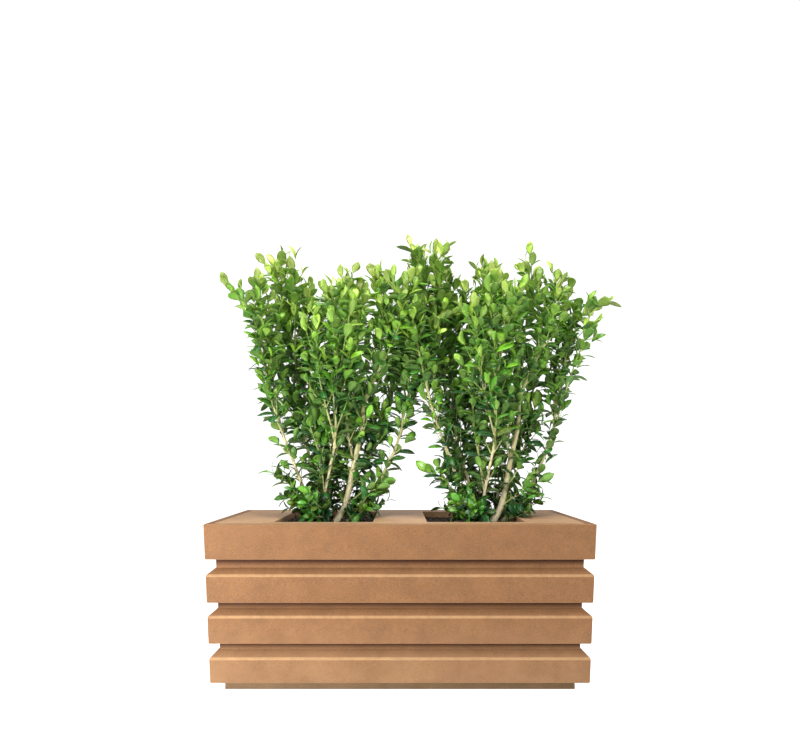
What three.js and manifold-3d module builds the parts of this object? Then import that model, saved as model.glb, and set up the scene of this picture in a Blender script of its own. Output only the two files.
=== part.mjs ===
// Two boxwood shrubs growing in one rectangular planter faced with wood-fibre composite boards.
//
// Units are millimetres and +Z is up. The origin is the centre of the plinth's underside. Seen from
// the front, +X goes to the right and +Y goes to the back. The planter's walls lean inward towards
// the ground, so most of its pieces are placed by their height and by how far they lie inside the
// leaning outer face.
import * as THREE from 'three';
import { ConvexGeometry } from 'three/addons/geometries/ConvexGeometry.js';
import { mergeVertices } from 'three/addons/utils/BufferGeometryUtils.js';
import Module from 'manifold-3d';

const wasm = await Module();
wasm.setup();

// Planter
const RIM_LENGTH = 600;
const RIM_WIDTH = 300;
const PLANTER_HEIGHT = 250;
const WALL_LEAN = 0.0615; // inward shift of the wall for each millimetre below the rim
const GAP = 0.3; // clearance between pieces that touch
const MITRE_GAP = 0.21; // shift along each board that leaves GAP across a mitre

// Courses of facing boards, from the top down. The bevel is the height of the sloping top edge.
const BOARD_THICKNESS = 13;
const COURSES = [
  { name: 'rim', bottom: 197, top: PLANTER_HEIGHT, bevel: 0 },
  { name: 'upper_course', bottom: 132.5, top: 173.5, bevel: 10 },
  { name: 'middle_course', bottom: 72, top: 112, bevel: 10.5 },
  { name: 'lower_course', bottom: 14.5, top: 50.5, bevel: 10.5 },
];
const SIDES = ['front', 'back', 'left', 'right'];

// Carcass, plinth and deck
const PLINTH_HEIGHT = 14;
const PLINTH_INSET = 18.5;
const PANEL_THICKNESS = 12;
const PANEL_INSET = BOARD_THICKNESS + GAP;
const DECK_THICKNESS = 18;
const DECK_UNDERSIDE = PLANTER_HEIGHT - DECK_THICKNESS;
const OPENING_NEAR_X = 43; // from the planter's middle to the near side of each planting opening
const OPENING_FAR_X = 200;
const OPENING_HALF_WIDTH = 110;

// Liner and soil
const LINER_WALL = 2;
const LINER_INSET = PANEL_INSET + PANEL_THICKNESS + 0.5;
const FLOOR_TOP = PLINTH_HEIGHT + GAP + PANEL_THICKNESS;
const SOIL_LEVEL = DECK_UNDERSIDE - 4; // under the deck
const BED_LEVEL = PLANTER_HEIGHT - 12; // heaped up inside each opening
const BED_MARGIN = 1;
const DRAIN_RADIUS = 8;
const DRAIN_PLACES = [[-170, 0], [-60, 0], [60, 0], [170, 0]];

// Root balls
const ROOT_TOP = BED_LEVEL + 3;
const ROOT_HEIGHT = 125;
const ROOT_TOP_RADIUS = 54;
const ROOT_BOTTOM_RADIUS = 42;
const ROOT_SHIFT_X = 8; // from the plant's own origin

// Plants. Each plant's own origin is on the rim's plane, on the planter's centre line.
const PLANTS = [
  { name: 'left_plant', x: -135, stretch: 1 },
  { name: 'right_plant', x: 135, stretch: 1.045 },
];
const STEM_FOOT = ROOT_TOP - 6 - PLANTER_HEIGHT; // before it is cut level with the root ball
const TIP_RADIUS = 1.3;
const STEM_SIDES = 6;
const STEM_STEPS = 12;
// Each stem's route up from its foot, as [x, y, height above the rim], and its radius at the foot.
const STEMS = [
  {
    name: 'left_outer', radius: 3.4, reach: 27,
    route: [[-2, -14, STEM_FOOT], [-31, -22, 49], [-52, -29, 104], [-78, -36, 173],
      [-99, -44, 257], [-114, -50, 326], [-127, -54, 355], [-158, -58, 393]],
  },
  {
    name: 'left_inner', radius: 3.4, reach: 42,
    route: [[2, 2, STEM_FOOT], [-13, 8, 53], [-30, 18, 115], [-43, 26, 186], [-60, 30, 240],
      [-68, 34, 313], [-86, 38, 394], [-104, 42, 456]],
  },
  {
    name: 'centre_back', radius: 2.8, reach: 44,
    route: [[6, 22, STEM_FOOT], [9, 34, 61], [12, 44, 133], [18, 52, 206], [21, 62, 299],
      [24, 72, 385], [29, 80, 436]],
  },
  {
    name: 'centre_right', radius: 6, reach: 42,
    route: [[24, -14, STEM_FOOT], [40, -16, 20], [49, -20, 59], [56, -24, 94], [69, -28, 148],
      [74, -32, 199], [98, -36, 253], [113, -38, 308], [101, -40, 362], [90, -42, 410]],
  },
  {
    name: 'centre_front', radius: 3, reach: 40,
    route: [[10, -28, STEM_FOOT], [7, -40, 33], [16, -48, 80], [25, -56, 130], [27, -62, 196],
      [28, -70, 294], [22, -76, 350], [21, -80, 380]],
  },
  {
    name: 'right_outer', radius: 3.4, reach: 27,
    route: [[42, -2, STEM_FOOT], [90, -3, 36], [102, -4, 66], [122, -5, 106], [134, -6, 139],
      [142, -6, 181], [155, -6, 236], [168, -4, 297], [181, -2, 332], [207, 0, 352],
      [229, 2, 362]],
  },
  {
    name: 'right_back', radius: 3, reach: 40,
    route: [[28, 16, STEM_FOOT], [49, 28, 61], [84, 42, 133], [110, 50, 206], [134, 56, 298],
      [152, 58, 368], [166, 62, 414]],
  },
];

// Foliage. A soft spindle of leaves follows each stem from just above the rim to past its tip.
const FOLIAGE_START = 0.09; // as a share of the stem's length
const FOLIAGE_OVERRUN = 28;
const FOLIAGE_SIDES = 8;
const FOLIAGE_STEPS = 7;
const FOLIAGE_CLEARANCE = 0.4;

const FINISHES = {
  board: { color: 0xb5865f, roughness: 0.75, metalness: 0 },
  carcass: { color: 0xa57551, roughness: 0.8, metalness: 0 },
  liner: { color: 0x1c1c1c, roughness: 0.55, metalness: 0 },
  soil: { color: 0x2b1d14, roughness: 0.98, metalness: 0 },
  root_ball: { color: 0x3a2a1c, roughness: 0.98, metalness: 0 },
  stem: { color: 0xb9b287, roughness: 0.8, metalness: 0 },
  foliage: { color: 0x4f8a2c, roughness: 0.55, metalness: 0 },
};

const object = new THREE.Group();

function addPiece(name, geometry, finish) {
  const mesh = new THREE.Mesh(geometry, new THREE.MeshStandardMaterial(FINISHES[finish]));
  mesh.name = name;
  object.add(mesh);
}

// Booleans

function toSolid(geometry) {
  const bare = geometry.clone();
  bare.deleteAttribute('normal');
  bare.deleteAttribute('uv');
  const merged = mergeVertices(bare, 1e-3);
  return new wasm.Manifold(new wasm.Mesh({
    numProp: 3,
    vertProperties: new Float32Array(merged.attributes.position.array),
    triVerts: new Uint32Array(merged.index.array),
  }));
}

function toGeometry(solid) {
  const mesh = solid.getMesh();
  const geometry = new THREE.BufferGeometry();
  geometry.setAttribute('position', new THREE.BufferAttribute(mesh.vertProperties, 3));
  geometry.setIndex(new THREE.BufferAttribute(mesh.triVerts, 1));
  geometry.computeVertexNormals();
  return geometry;
}

function cutAway(solid, tools) {
  return tools.reduce((left, tool) => left.subtract(tool), solid);
}

// Shapes that follow the leaning walls

function halfSize(size, inset, height) {
  return size / 2 - inset - WALL_LEAN * (PLANTER_HEIGHT - height);
}

// A board along one side, mitred at both ends. The profile holds [inset, height] points.
function mitredBoard(side, profile) {
  const points = [];
  for (const [inset, height] of profile) {
    const halfLength = halfSize(RIM_LENGTH, inset, height);
    const halfWidth = halfSize(RIM_WIDTH, inset, height);
    for (const end of [-1, 1]) {
      if (side === 'front' || side === 'back') {
        const y = side === 'front' ? -halfWidth : halfWidth;
        points.push(new THREE.Vector3(end * (halfLength - MITRE_GAP), y, height));
      } else {
        const x = side === 'left' ? -halfLength : halfLength;
        points.push(new THREE.Vector3(x, end * (halfWidth - MITRE_GAP), height));
      }
    }
  }
  return new ConvexGeometry(points);
}

// A solid that fills the planter between two heights, at one inset from the leaning outer face.
function leaningBlock(inset, bottom, top) {
  const points = [];
  for (const height of [bottom, top]) {
    const x = halfSize(RIM_LENGTH, inset, height);
    const y = halfSize(RIM_WIDTH, inset, height);
    for (const [sx, sy] of [[-1, -1], [1, -1], [1, 1], [-1, 1]]) {
      points.push(new THREE.Vector3(sx * x, sy * y, height));
    }
  }
  return new ConvexGeometry(points);
}

function block(lowX, highX, lowY, highY, bottom, top) {
  const geometry = new THREE.BoxGeometry(highX - lowX, highY - lowY, top - bottom);
  return geometry.translate((lowX + highX) / 2, (lowY + highY) / 2, (bottom + top) / 2);
}

function drainHoles(bottom, top) {
  const overshoot = 5;
  const length = top - bottom + 2 * overshoot;
  return DRAIN_PLACES.map(([x, y]) => {
    const hole = new THREE.CylinderGeometry(DRAIN_RADIUS, DRAIN_RADIUS, length, 16);
    hole.rotateX(Math.PI / 2);
    hole.translate(x, y, (bottom + top) / 2);
    return toSolid(hole);
  });
}

// Planter pieces

function addCourses() {
  for (const course of COURSES) {
    const profile = [
      [0, course.bottom],
      [0, course.top],
      [BOARD_THICKNESS, course.top + course.bevel],
      [BOARD_THICKNESS, course.bottom],
    ];
    for (const side of SIDES) {
      addPiece(`${course.name}_${side}`, mitredBoard(side, profile), 'board');
    }
  }
}

function addCarcass() {
  const bottom = PLINTH_HEIGHT + GAP;
  const top = DECK_UNDERSIDE - GAP;
  const inner = PANEL_INSET + PANEL_THICKNESS;
  const profile = [[PANEL_INSET, bottom], [PANEL_INSET, top], [inner, top], [inner, bottom]];
  for (const side of SIDES) {
    addPiece(`carcass_${side}`, mitredBoard(side, profile), 'carcass');
  }
  const floor = toSolid(leaningBlock(inner + GAP, bottom, FLOOR_TOP));
  addPiece('carcass_floor', toGeometry(cutAway(floor, drainHoles(bottom, FLOOR_TOP))), 'carcass');
}

function addPlinth() {
  const x = halfSize(RIM_LENGTH, PLINTH_INSET, PLINTH_HEIGHT);
  const y = halfSize(RIM_WIDTH, PLINTH_INSET, PLINTH_HEIGHT);
  const slab = toSolid(block(-x, x, -y, y, 0, PLINTH_HEIGHT));
  addPiece('plinth', toGeometry(cutAway(slab, drainHoles(0, PLINTH_HEIGHT))), 'carcass');
}

// The rails run the full length. The end boards and the centre board lie between them.
function addDeck() {
  const outline = toSolid(leaningBlock(PANEL_INSET, DECK_UNDERSIDE, PLANTER_HEIGHT));
  const far = RIM_LENGTH;
  const rail = OPENING_HALF_WIDTH;
  const between = OPENING_HALF_WIDTH - GAP;
  const boards = {
    deck_front_rail: [-far, far, -far, -rail],
    deck_back_rail: [-far, far, rail, far],
    deck_left_end: [-far, -OPENING_FAR_X, -between, between],
    deck_right_end: [OPENING_FAR_X, far, -between, between],
    deck_centre: [-OPENING_NEAR_X, OPENING_NEAR_X, -between, between],
  };
  for (const [name, [lowX, highX, lowY, highY]] of Object.entries(boards)) {
    const cell = toSolid(block(lowX, highX, lowY, highY, 0, 2 * PLANTER_HEIGHT));
    addPiece(name, toGeometry(outline.intersect(cell)), 'board');
  }
}

function addLiner() {
  const bottom = FLOOR_TOP + GAP;
  const top = DECK_UNDERSIDE - GAP;
  const shell = toSolid(leaningBlock(LINER_INSET, bottom, top));
  const hollow = toSolid(leaningBlock(LINER_INSET + LINER_WALL, bottom + LINER_WALL, top + 5));
  const drains = drainHoles(bottom, bottom + LINER_WALL);
  addPiece('liner', toGeometry(cutAway(shell, [hollow, ...drains])), 'liner');
}

function rootBall(plant, clearance) {
  const bottom = ROOT_TOP - ROOT_HEIGHT - clearance;
  const shoulder = 8;
  const wide = ROOT_TOP_RADIUS + clearance;
  const profile = [
    new THREE.Vector2(0, bottom),
    new THREE.Vector2(ROOT_BOTTOM_RADIUS + clearance, bottom),
    new THREE.Vector2(wide, ROOT_TOP - shoulder),
    new THREE.Vector2(wide - shoulder / 2, ROOT_TOP),
    new THREE.Vector2(0, ROOT_TOP),
  ];
  const geometry = new THREE.LatheGeometry(profile, 24);
  geometry.rotateX(Math.PI / 2);
  return geometry.translate(plant.x + ROOT_SHIFT_X, 0, 0);
}

function addSoil() {
  const inset = LINER_INSET + LINER_WALL + GAP;
  let soil = toSolid(leaningBlock(inset, FLOOR_TOP + LINER_WALL + 2 * GAP, SOIL_LEVEL));
  const near = OPENING_NEAR_X + BED_MARGIN;
  const far = OPENING_FAR_X - BED_MARGIN;
  const half = OPENING_HALF_WIDTH - BED_MARGIN;
  for (const [low, high] of [[-far, -near], [near, far]]) {
    soil = soil.add(toSolid(block(low, high, -half, half, SOIL_LEVEL - 1, BED_LEVEL)));
  }
  const pockets = PLANTS.map((plant) => toSolid(rootBall(plant, GAP)));
  addPiece('soil', toGeometry(cutAway(soil, pockets)), 'soil');
  for (const plant of PLANTS) {
    addPiece(`${plant.name}_root_ball`, rootBall(plant, 0), 'root_ball');
  }
}

// Plants

// A closed tube of changing radius along a curve, from one share of its length to the end.
function taperedTube(curve, start, steps, sides, radiusAt) {
  const positions = [];
  const indices = [];
  const across = new THREE.Vector3();
  const side = new THREE.Vector3();
  const reference = new THREE.Vector3(0, 1, 0);
  for (let step = 0; step <= steps; step += 1) {
    const share = step / steps;
    const place = start + (1 - start) * share;
    const centre = curve.getPointAt(place);
    side.crossVectors(curve.getTangentAt(place), reference).normalize();
    across.crossVectors(side, curve.getTangentAt(place)).normalize();
    for (let corner = 0; corner < sides; corner += 1) {
      const angle = (2 * Math.PI * corner) / sides;
      const point = centre.clone();
      point.addScaledVector(side, radiusAt(share) * Math.cos(angle));
      point.addScaledVector(across, radiusAt(share) * Math.sin(angle));
      positions.push(point.x, point.y, point.z);
    }
  }
  const ring = (step, corner) => step * sides + (corner % sides);
  for (let step = 0; step < steps; step += 1) {
    for (let corner = 0; corner < sides; corner += 1) {
      const [a, b] = [ring(step, corner), ring(step, corner + 1)];
      const [c, d] = [ring(step + 1, corner + 1), ring(step + 1, corner)];
      indices.push(a, c, b, a, d, c);
    }
  }
  for (let corner = 1; corner < sides - 1; corner += 1) {
    indices.push(0, corner, corner + 1);
    indices.push(ring(steps, 0), ring(steps, corner + 1), ring(steps, corner));
  }
  const geometry = new THREE.BufferGeometry();
  geometry.setAttribute('position', new THREE.Float32BufferAttribute(positions, 3));
  geometry.setIndex(indices);
  geometry.computeVertexNormals();
  return geometry;
}

function stemPoints(plant, stem) {
  return stem.route.map(([x, y, height]) => {
    const rise = height > 0 ? height * plant.stretch : height;
    return new THREE.Vector3(plant.x + x, y, PLANTER_HEIGHT + rise);
  });
}

function stemTube(plant, stem, clearance) {
  const curve = new THREE.CatmullRomCurve3(stemPoints(plant, stem));
  const radiusAt = (share) => THREE.MathUtils.lerp(stem.radius, TIP_RADIUS, share) + clearance;
  return taperedTube(curve, 0, STEM_STEPS, STEM_SIDES, radiusAt);
}

// The spindle is widest a little below the middle of the stem and narrows to the tip.
function foliageSpindle(plant, stem, clearance) {
  const points = stemPoints(plant, stem);
  const tip = points[points.length - 1];
  const heading = tip.clone().sub(points[points.length - 2]).normalize();
  points.push(tip.clone().addScaledVector(heading, FOLIAGE_OVERRUN));
  const curve = new THREE.CatmullRomCurve3(points);
  const swell = (share) => Math.sin(Math.PI * (0.16 + 0.73 * share));
  const radiusAt = (share) => stem.reach * swell(share) + clearance;
  return taperedTube(curve, FOLIAGE_START, FOLIAGE_STEPS, FOLIAGE_SIDES, radiusAt);
}

// Where a neighbour cuts a spindle through, its largest length is kept.
function largestBody(solid) {
  const bodies = solid.decompose();
  return bodies.reduce((best, body) => (body.volume() > best.volume() ? body : best));
}

// Each spindle gives way to every stem and to the spindles placed before it.
function addPlants() {
  const stemTools = [];
  const spindleTools = [];
  const span = RIM_LENGTH / 2;
  const ground = toSolid(block(-span, span, -span, span, ROOT_TOP - 30, ROOT_TOP + GAP));
  for (const plant of PLANTS) {
    for (const stem of STEMS) {
      const tube = toSolid(stemTube(plant, stem, 0)).subtract(ground);
      addPiece(`${plant.name}_stem_${stem.name}`, toGeometry(tube), 'stem');
      stemTools.push(toSolid(stemTube(plant, stem, FOLIAGE_CLEARANCE)));
    }
  }
  for (const plant of PLANTS) {
    for (const stem of STEMS) {
      const spindle = toSolid(foliageSpindle(plant, stem, 0));
      const foliage = largestBody(cutAway(spindle, [...spindleTools, ...stemTools]));
      addPiece(`${plant.name}_foliage_${stem.name}`, toGeometry(foliage), 'foliage');
      spindleTools.push(toSolid(foliageSpindle(plant, stem, FOLIAGE_CLEARANCE)));
    }
  }
}

addPlinth();
addCarcass();
addCourses();
addLiner();
addSoil();
addDeck();
addPlants();

export default object;
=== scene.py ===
"""Two boxwood shrubs growing in a planter box faced with wood-fibre composite boards.

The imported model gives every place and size. This script gives the looks: eased boards with a fine
fibre grain, crumbly soil, bark and thousands of small opposite leaves. Lengths are in metres
unless a name ends in _mm.
"""

import logging
import math
import random
from collections.abc import Iterable, Mapping, Sequence
from dataclasses import dataclass, field
from enum import Enum
from functools import partial

import bmesh
import bpy
from mathutils import Matrix, Vector


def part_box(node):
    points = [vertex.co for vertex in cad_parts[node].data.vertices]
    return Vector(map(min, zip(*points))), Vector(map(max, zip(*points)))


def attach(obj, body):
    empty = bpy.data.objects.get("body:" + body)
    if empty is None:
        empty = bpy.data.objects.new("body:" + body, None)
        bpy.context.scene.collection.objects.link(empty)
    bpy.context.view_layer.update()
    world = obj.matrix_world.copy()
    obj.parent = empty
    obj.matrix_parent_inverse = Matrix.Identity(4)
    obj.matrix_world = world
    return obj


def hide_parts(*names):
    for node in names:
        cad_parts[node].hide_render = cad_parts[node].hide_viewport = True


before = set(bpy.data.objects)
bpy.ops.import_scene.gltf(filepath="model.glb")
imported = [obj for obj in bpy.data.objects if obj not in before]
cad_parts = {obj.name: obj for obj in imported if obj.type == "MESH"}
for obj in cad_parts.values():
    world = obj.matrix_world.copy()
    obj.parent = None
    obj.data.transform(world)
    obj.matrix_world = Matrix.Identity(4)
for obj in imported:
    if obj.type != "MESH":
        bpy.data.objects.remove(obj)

LOG = logging.getLogger("boxwood_planter")
MM = 0.001
UP = Vector((0.0, 0.0, 1.0))
BODY = "root"
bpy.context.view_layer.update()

# Points of a CAD mesh that are closer than this are one point, and faces that turn by less are flat.
SAME_PLACE = 0.02 * MM
FLAT_ANGLE = math.radians(0.6)

# Node types that are used often. A Map Range node takes a value, the two ends of the range that is
# read, and what those ends become. Sockets that share a name are given by number: a Mix node's
# colours are 6 and 7 and its mixed colour is 2, and a Random Value's range is 0 and 1 for a vector,
# 2 and 3 for a decimal and 4 and 5 for a whole number.
ATTRIBUTE = "ShaderNodeAttribute"
MAP_RANGE = "ShaderNodeMapRange"
MATH = "ShaderNodeMath"
NAMED_VALUE = "GeometryNodeInputNamedAttribute"
NOISE = "ShaderNodeTexNoise"
RAMP = "ShaderNodeValToRGB"
RANDOM = "FunctionNodeRandomValue"

# A noise value is nearly always between these.
NOISE_SPAN = (0.3, 0.7)


# ---------------------------------------------------------------------------------------------
# Small tools
# ---------------------------------------------------------------------------------------------


def linear(code: str) -> tuple[float, float, float, float]:
    """Turns an sRGB hex colour into the linear colour that shaders take.

    Args:
        code: Six hex digits, such as "b5865f".

    Returns:
        Linear red, green and blue, with an alpha of 1.
    """
    parts = [int(code[i : i + 2], 16) / 255 for i in (0, 2, 4)]
    values = [c / 12.92 if c <= 0.04045 else ((c + 0.055) / 1.055) ** 2.4 for c in parts]
    return (values[0], values[1], values[2], 1.0)


def add_node(
    tree: bpy.types.NodeTree,
    kind: str,
    inputs: Mapping[int | str, object] | Sequence[object] = (),
    output: int | str = 0,
    **settings: object,
) -> bpy.types.NodeSocket | None:
    """Adds a node with its settings and links.

    Args:
        tree: The shader or geometry tree that gets the node.
        kind: The node's type name.
        inputs: Values or sockets, by input name or number, or in the inputs' own order. A list is
            several sockets that go into one input.
        output: The name or number of the output that is wanted.
        settings: The node's own properties. A colour ramp's stops are positions and hex colours.

    Returns:
        The wanted output, or None from a node that has no outputs.
    """
    node = tree.nodes.new(kind)
    for number, (position, code) in enumerate(settings.pop("stops", ())):
        elements = node.color_ramp.elements
        element = elements[number] if number < len(elements) else elements.new(position)
        element.position = position
        element.color = linear(code)
    for name, value in settings.items():
        setattr(node, name, value)
    for key, value in inputs.items() if isinstance(inputs, Mapping) else enumerate(inputs):
        for source in value if isinstance(value, list) else [value]:
            if isinstance(source, bpy.types.NodeSocket):
                tree.links.new(source, node.inputs[key])
            else:
                node.inputs[key].default_value = source
    return node.outputs[output] if len(node.outputs) else None


def new_mesh(name: str, shape: bmesh.types.BMesh) -> bpy.types.Mesh:
    """Turns a bmesh into a mesh and frees it.

    Args:
        name: The new mesh's name.
        shape: The bmesh, which can't be used afterwards.

    Returns:
        The mesh.
    """
    mesh = bpy.data.meshes.new(name)
    shape.to_mesh(mesh)
    shape.free()
    return mesh


def new_object(name: str, mesh: bpy.types.Mesh) -> bpy.types.Object:
    """Puts a mesh in the scene as an object at the origin.

    Args:
        name: The object's name.
        mesh: Its mesh, already in the model's frame.

    Returns:
        The linked object.
    """
    piece = bpy.data.objects.new(name, mesh)
    bpy.context.scene.collection.objects.link(piece)
    return piece


def settle(piece: bpy.types.Object, slot: str, node: str, smooth: float | None = None) -> None:
    """Joins a finished piece to the model and reports it.

    Args:
        piece: The finished piece.
        slot: The record's material slot; not used.
        node: The CAD node that the piece stands for.
        smooth: The largest angle in degrees that is shaded smooth, or None for every edge.
    """
    mesh = piece.data
    mesh.polygons.foreach_set("use_smooth", [True] * len(mesh.polygons))
    if smooth is not None:
        mesh.set_sharp_from_angle(angle=math.radians(smooth))
    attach(piece, BODY)
    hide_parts(node)
    LOG.info("%s: %d faces", piece.name, len(mesh.polygons))


def cad_mesh(node: str) -> bmesh.types.BMesh:
    """Copies a CAD node's shape, with its flat faces made whole again.

    Args:
        node: The CAD node's name.

    Returns:
        A bmesh with merged corners and one face for each flat side.
    """
    shape = bmesh.new()
    shape.from_mesh(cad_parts[node].data)
    bmesh.ops.remove_doubles(shape, verts=shape.verts, dist=SAME_PLACE)
    bmesh.ops.dissolve_limit(shape, angle_limit=FLAT_ANGLE, verts=shape.verts, edges=shape.edges)
    bmesh.ops.recalc_face_normals(shape, faces=shape.faces)
    return shape


# ---------------------------------------------------------------------------------------------
# Finishes
# ---------------------------------------------------------------------------------------------


class Finish:
    """Base of the finishes: makes its material once and hands it out again."""

    made: dict[str, bpy.types.Material] = {}
    title: str

    def material(self) -> bpy.types.Material:
        """Makes the finish's material on the first call, and keeps it.

        Returns:
            The material.
        """
        if self.title not in Finish.made:
            material = bpy.data.materials.new(self.title)
            material.use_nodes = True
            material.node_tree.nodes.clear()
            self.wire(material.node_tree)
            Finish.made[self.title] = material
        return Finish.made[self.title]

    def wire(self, tree: bpy.types.NodeTree) -> None:
        """Builds the material's nodes.

        Args:
            tree: The material's empty tree.
        """
        raise NotImplementedError

    @staticmethod
    def patterns(
        tree: bpy.types.NodeTree, *grains: tuple[float, float]
    ) -> list[bpy.types.NodeSocket]:
        """Measures the piece in millimetres and lays irregular patterns of real sizes over it.

        Args:
            tree: The material's tree.
            grains: For each pattern, the size of its features in millimetres and its fineness.

        Returns:
            The place in millimetres, then each pattern's value.
        """
        coords = add_node(tree, "ShaderNodeTexCoord", output="Object")
        place = add_node(
            tree, "ShaderNodeVectorMath", {0: coords, "Scale": 1 / MM}, operation="SCALE"
        )
        return [place] + [
            add_node(tree, NOISE, {"Vector": place, "Scale": 1 / size_mm, "Detail": detail})
            for size_mm, detail in grains
        ]

    @staticmethod
    def paint(
        tree: bpy.types.NodeTree, colour: object, coats: Iterable[tuple[object, object]]
    ) -> object:
        """Lays coats of colour over one another.

        Args:
            tree: The material's tree.
            colour: The colour under them.
            coats: For each coat, how much of it covers and its hex colour, or a socket with a tone
                that brightens or darkens what is under it.

        Returns:
            The colour's socket.
        """
        for share, coat in coats:
            if isinstance(coat, str):
                how, over = "MIX", linear(coat)
            else:
                how, over = "MULTIPLY", add_node(tree, "ShaderNodeCombineColor", (coat, coat, coat))
            colour = add_node(
                tree, "ShaderNodeMix", {0: share, 6: colour, 7: over}, 2,
                data_type="RGBA", blend_type=how,
            )
        return colour

    @staticmethod
    def surface(
        tree: bpy.types.NodeTree,
        inputs: Mapping[str, object],
        height: bpy.types.NodeSocket | None = None,
        bump_mm: float = 0.1,
    ) -> None:
        """Ends the material in a Principled shader.

        Args:
            tree: The material's tree.
            inputs: The shader's values and sockets by name.
            height: A height pattern for the bump, or None.
            bump_mm: How far the pattern stands proud.
        """
        if height is not None:
            bump = {"Strength": 1.0, "Distance": bump_mm * MM, "Height": height}
            inputs = {**inputs, "Normal": add_node(tree, "ShaderNodeBump", bump)}
        shader = add_node(tree, "ShaderNodeBsdfPrincipled", inputs)
        add_node(tree, "ShaderNodeOutputMaterial", {"Surface": shader})


@dataclass(frozen=True)
class FibreComposite(Finish):
    """Pressed wood-fibre composite: fine flecks, soft mottling and lighter rubbed edges, partly wear
    and partly a painted highlight.

    Painted shade darkens the strip just below each of the listed levels, where the course above
    overhangs. Pale dust, splashed up by rain, fades from its foot to the height dust_top_mm.
    """

    title: str
    body: str
    fleck_dark: str
    fleck_light: str
    worn_and_highlight: str
    # The painted shade under the overhangs: its levels, its colour, how much it covers, how far it
    # reaches and where it is full.
    painted_shade_levels_mm: tuple[float, ...] = ()
    painted_shade_colour: str = "3a1700"
    painted_shade_cover: float = 0.92
    painted_shade_depth_mm: float = 13.0
    painted_shade_full_mm: float = 4.0
    dust: float = 0.2
    dust_colour: str = "bf9c76"
    dust_foot_mm: float = 15.0
    dust_top_mm: float = 115.0
    bump_mm: float = 0.16

    def wire(self, tree: bpy.types.NodeTree) -> None:
        """Builds the composite's nodes.

        Args:
            tree: The material's empty tree.
        """
        add = partial(add_node, tree)
        # Real fibres are about 0.3 mm wide, too fine to show, so the finest pattern is 0.6 mm.
        place, mottling, clouds, flecks, fine = self.patterns(tree, (38, 3), (9, 2), (1.5, 3), (0.6, 1))
        dark = add(MAP_RANGE, (flecks, 0.30, 0.50, 0.55, 0.0))
        light = add(MAP_RANGE, (flecks, 0.52, 0.72, 0.0, 0.5))
        shade = add(MAP_RANGE, (mottling, *NOISE_SPAN, 0.91, 1.09))
        haze = add(MAP_RANGE, (clouds, *NOISE_SPAN, 0.94, 1.06))
        tone = add(MATH, (shade, haze), operation="MULTIPLY")
        # Rubbed edges are painted lighter, partly as wear and partly as a painted highlight along the
        # arris.
        wear = add(ATTRIBUTE, output="Fac", attribute_name="wear")
        patchy = add(MAP_RANGE, (clouds, 0.35, 0.65, 0.6, 0.9))
        rubbed_and_highlight = add(MATH, (wear, patchy), operation="MULTIPLY")
        level_mm = add("ShaderNodeSeparateXYZ", (place,), 2)
        splashed = add(MAP_RANGE, (level_mm, self.dust_foot_mm, self.dust_top_mm, self.dust, 0.0))
        drift = add(MAP_RANGE, (mottling, *NOISE_SPAN, 0.7, 1.3))
        dusty = add(MATH, (splashed, drift), operation="MULTIPLY")
        coats = [
            (dark, self.fleck_dark),
            (light, self.fleck_light),
            (1.0, tone),
            (rubbed_and_highlight, self.worn_and_highlight),
            (dusty, self.dust_colour),
        ]
        # Painted shade: a dark strip just below each listed level, under the overhang.
        for top in self.painted_shade_levels_mm:
            foot = top - self.painted_shade_depth_mm
            near = add(MAP_RANGE, (level_mm, foot, top - self.painted_shade_full_mm, 0.0, 1.0))
            below = add(MATH, (level_mm, top + self.painted_shade_depth_mm), operation="LESS_THAN")
            painted_shade_strip = add(MATH, (add(MATH, (near, 1.3), operation="POWER"), below), operation="MULTIPLY")
            coats.append((add(MATH, (painted_shade_strip, self.painted_shade_cover), operation="MULTIPLY"), self.painted_shade_colour))
        surface = {
            "Base Color": self.paint(tree, linear(self.body), coats),
            "Roughness": add(MAP_RANGE, (clouds, *NOISE_SPAN, 0.62, 0.82)),
            "Specular IOR Level": 0.3,
        }
        height = add(MATH, (fine, 0.5, flecks), operation="MULTIPLY_ADD")
        self.surface(tree, surface, height, self.bump_mm)


@dataclass(frozen=True)
class PottingSoil(Finish):
    """Damp peat and bark: nearly black, with browner crumbs."""

    title: str = "damp potting soil"
    wet: str = "1a120c"
    moist: str = "2d2015"
    dry: str = "4a3422"

    def wire(self, tree: bpy.types.NodeTree) -> None:
        """Builds the soil's nodes.

        Args:
            tree: The material's empty tree.
        """
        # Crumbs of 5 mm and grit of about 1 mm.
        _, crumbs, grit = self.patterns(tree, (5, 4), (0.9, 2))
        stops = ((0.32, self.wet), (0.52, self.moist), (0.7, self.dry))
        surface = {
            "Base Color": add_node(tree, RAMP, (crumbs,), stops=stops),
            "Roughness": add_node(tree, MAP_RANGE, (grit, *NOISE_SPAN, 0.8, 1.0)),
            "Specular IOR Level": 0.25,
        }
        height = add_node(tree, MATH, (grit, crumbs), operation="ADD")
        self.surface(tree, surface, height, 0.8)


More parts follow.
